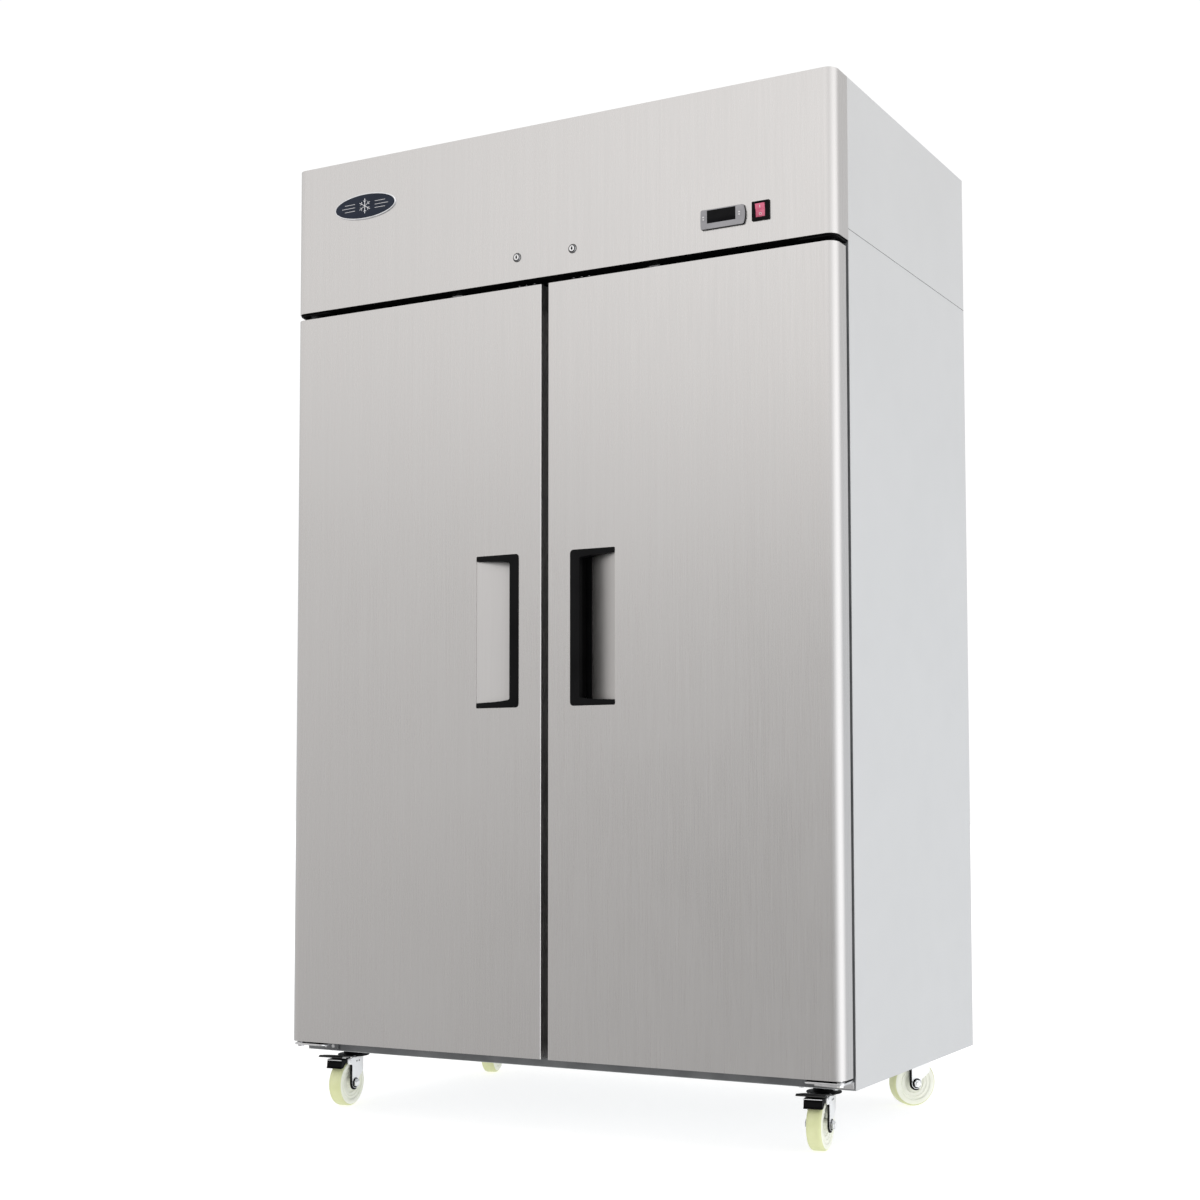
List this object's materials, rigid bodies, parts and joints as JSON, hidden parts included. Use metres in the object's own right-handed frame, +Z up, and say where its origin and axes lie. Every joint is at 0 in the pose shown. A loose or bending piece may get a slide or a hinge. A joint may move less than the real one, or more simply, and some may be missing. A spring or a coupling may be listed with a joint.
{
  "type": "reach in refrigerator",
  "caption": "Two-door upright stainless reach-in refrigerator with a top-mounted condensing unit, recessed pulls and swivel casters.",
  "frame": {"origin": "centre of the overall footprint, on the floor", "axes": "+Z up, +X to the right seen from the front, -Y out of the front of the doors"},
  "size_m": [1.314, 0.766, 2.1],
  "materials": {
    "stainless_front": "satin",
    "stainless_side": "satin",
    "stainless_inner": "satin",
    "galvanised_sheet": "satin",
    "frame_grey": "satin",
    "insulation_foam": "matte",
    "black_plastic": "matte",
    "bezel_grey": "satin",
    "display_black": "gloss",
    "rocker_red": "gloss",
    "lamp_white": "satin",
    "rubber_grey": "matte",
    "lock_chrome": "gloss",
    "hinge_chrome": "gloss",
    "zinc_plate": "satin",
    "nylon_cream": "satin",
    "brake_black": "satin",
    "compressor_black": "satin",
    "coil_aluminium": "satin",
    "copper_pipe": "satin",
    "fan_plastic": "satin",
    "shelf_wire": "satin"
  },
  "bodies": {
    "cabinet": {"side_panel_left": "stainless_side", "side_panel_right": "stainless_side", "back_panel": "galvanised_sheet", "base_panel": "galvanised_sheet", "deck_panel": "galvanised_sheet", "insulation_foam": "insulation_foam", "inner_liner": "stainless_inner", "face_frame": "frame_grey", "centre_mullion": "stainless_inner", "hood_front": "stainless_front", "hood_side_panels": "stainless_side", "hood_back_grille": "galvanised_sheet", "controller_bezel": "bezel_grey", "controller_display": "display_black", "rocker_frame": "black_plastic", "lock_housings": "lock_chrome", "compressor": "compressor_black", "condenser_coil": "coil_aluminium", "condenser_shroud": "galvanised_sheet", "condensate_pan": "black_plastic", "refrigerant_pipes": "copper_pipe", "electrical_box": "galvanised_sheet", "evaporator_housing": "stainless_inner", "evaporator_coil": "coil_aluminium", "interior_lamp": "lamp_white", "shelf_standards": "stainless_inner", "wire_shelves": "shelf_wire", "door_hinges": "hinge_chrome", "caster_plates": "zinc_plate"},
    "door_left": {"door_skin_left": "stainless_front", "door_core_left": "insulation_foam", "door_end_caps_left": "black_plastic", "door_liner_left": "stainless_inner", "door_gasket_left": "rubber_grey", "handle_pocket_left": "stainless_front", "handle_trim_left": "black_plastic"},
    "door_right": {"door_skin_right": "stainless_front", "door_core_right": "insulation_foam", "door_end_caps_right": "black_plastic", "door_liner_right": "stainless_inner", "door_gasket_right": "rubber_grey", "handle_pocket_right": "stainless_front", "handle_trim_right": "black_plastic"},
    "power_rocker": {"rocker_button": "rocker_red"},
    "key_left": {"controller_key_left": "bezel_grey"},
    "key_right": {"controller_key_right": "bezel_grey"},
    "lock_left": {"lock_cylinder_left": "lock_chrome"},
    "lock_right": {"lock_cylinder_right": "lock_chrome"},
    "condenser_fan_rotor": {"condenser_fan": "fan_plastic"},
    "evaporator_fan_rotor": {"evaporator_fan": "fan_plastic"},
    "fork_front_left": {"caster_fork_front_left": "zinc_plate"},
    "wheel_front_left": {"caster_wheel_front_left": "nylon_cream"},
    "brake_front_left": {"brake_pedal_front_left": "brake_black"},
    "fork_front_right": {"caster_fork_front_right": "zinc_plate"},
    "wheel_front_right": {"caster_wheel_front_right": "nylon_cream"},
    "brake_front_right": {"brake_pedal_front_right": "brake_black"},
    "fork_rear_left": {"caster_fork_rear_left": "zinc_plate"},
    "wheel_rear_left": {"caster_wheel_rear_left": "nylon_cream"},
    "fork_rear_right": {"caster_fork_rear_right": "zinc_plate"},
    "wheel_rear_right": {"caster_wheel_rear_right": "nylon_cream"}
  },
  "joints": [
    {"name": "left_door_hinge", "type": "hinge", "parent": "cabinet", "child": "door_left", "pos_m": [-0.643, -0.355, 0.95], "axis": [0, 0, -1], "range_deg": [0, 120]},
    {"name": "right_door_hinge", "type": "hinge", "parent": "cabinet", "child": "door_right", "pos_m": [0.643, -0.355, 0.95], "axis": [0, 0, 1], "range_deg": [0, 120]},
    {"name": "power_rocker_tilt", "type": "hinge", "parent": "cabinet", "child": "power_rocker", "pos_m": [0.499, -0.375, 1.838], "axis": [-1, 0, 0], "range_deg": [0, 18]},
    {"name": "key_left_press", "type": "slide", "parent": "cabinet", "child": "key_left", "axis": [0, 1, 0], "range_m": [0, 0.0006], "stiffness_N_per_m": 300},
    {"name": "key_right_press", "type": "slide", "parent": "cabinet", "child": "key_right", "axis": [0, 1, 0], "range_m": [0, 0.0006], "stiffness_N_per_m": 300},
    {"name": "left_lock_turn", "type": "hinge", "parent": "cabinet", "child": "lock_left", "pos_m": [-0.068, -0.377, 1.8217], "axis": [0, 1, 0], "range_deg": [0, 90]},
    {"name": "right_lock_turn", "type": "hinge", "parent": "cabinet", "child": "lock_right", "pos_m": [0.068, -0.377, 1.8217], "axis": [0, 1, 0], "range_deg": [0, 90]},
    {"name": "condenser_fan_spin", "type": "hinge", "parent": "cabinet", "child": "condenser_fan_rotor", "pos_m": [0.23, -0.072, 1.914], "axis": [0, 1, 0], "continuous": true},
    {"name": "evaporator_fan_spin", "type": "hinge", "parent": "cabinet", "child": "evaporator_fan_rotor", "pos_m": [0, 0.08, 1.651], "axis": [0, 1, 0], "continuous": true},
    {"name": "front_left_swivel", "type": "hinge", "parent": "cabinet", "child": "fork_front_left", "pos_m": [-0.589, -0.238, 0.112], "axis": [0, 0, 1], "continuous": true},
    {"name": "front_left_wheel_spin", "type": "hinge", "parent": "fork_front_left", "child": "wheel_front_left", "pos_m": [-0.58656, -0.26589, 0.0508], "axis": [0.9962, 0.0872, 0], "continuous": true},
    {"name": "front_left_brake", "type": "hinge", "parent": "fork_front_left", "child": "brake_front_left", "pos_m": [-0.5849, -0.28482, 0.1], "axis": [0.9962, 0.0872, 0], "range_deg": [0, 6]},
    {"name": "front_right_swivel", "type": "hinge", "parent": "cabinet", "child": "fork_front_right", "pos_m": [0.5625, -0.245, 0.112], "axis": [0, 0, 1], "continuous": true},
    {"name": "front_right_wheel_spin", "type": "hinge", "parent": "fork_front_right", "child": "wheel_front_right", "pos_m": [0.56591, -0.27279, 0.0508], "axis": [0.9925, 0.1219, 0], "continuous": true},
    {"name": "front_right_brake", "type": "hinge", "parent": "fork_front_right", "child": "brake_front_right", "pos_m": [0.56823, -0.29165, 0.1], "axis": [0.9925, 0.1219, 0], "range_deg": [0, 6]},
    {"name": "rear_left_swivel", "type": "hinge", "parent": "cabinet", "child": "fork_rear_left", "pos_m": [-0.566, 0.306, 0.112], "axis": [0, 0, 1], "continuous": true},
    {"name": "rear_left_wheel_spin", "type": "hinge", "parent": "fork_rear_left", "child": "wheel_rear_left", "pos_m": [-0.55828, 0.27909, 0.0508], "axis": [0.9613, 0.2756, 0], "continuous": true},
    {"name": "rear_right_swivel", "type": "hinge", "parent": "cabinet", "child": "fork_rear_right", "pos_m": [0.566, 0.306, 0.112], "axis": [0, 0, 1], "continuous": true},
    {"name": "rear_right_wheel_spin", "type": "hinge", "parent": "fork_rear_right", "child": "wheel_rear_right", "pos_m": [0.54726, 0.28519, 0.0508], "axis": [0.7431, -0.6691, 0], "continuous": true}
  ]
}
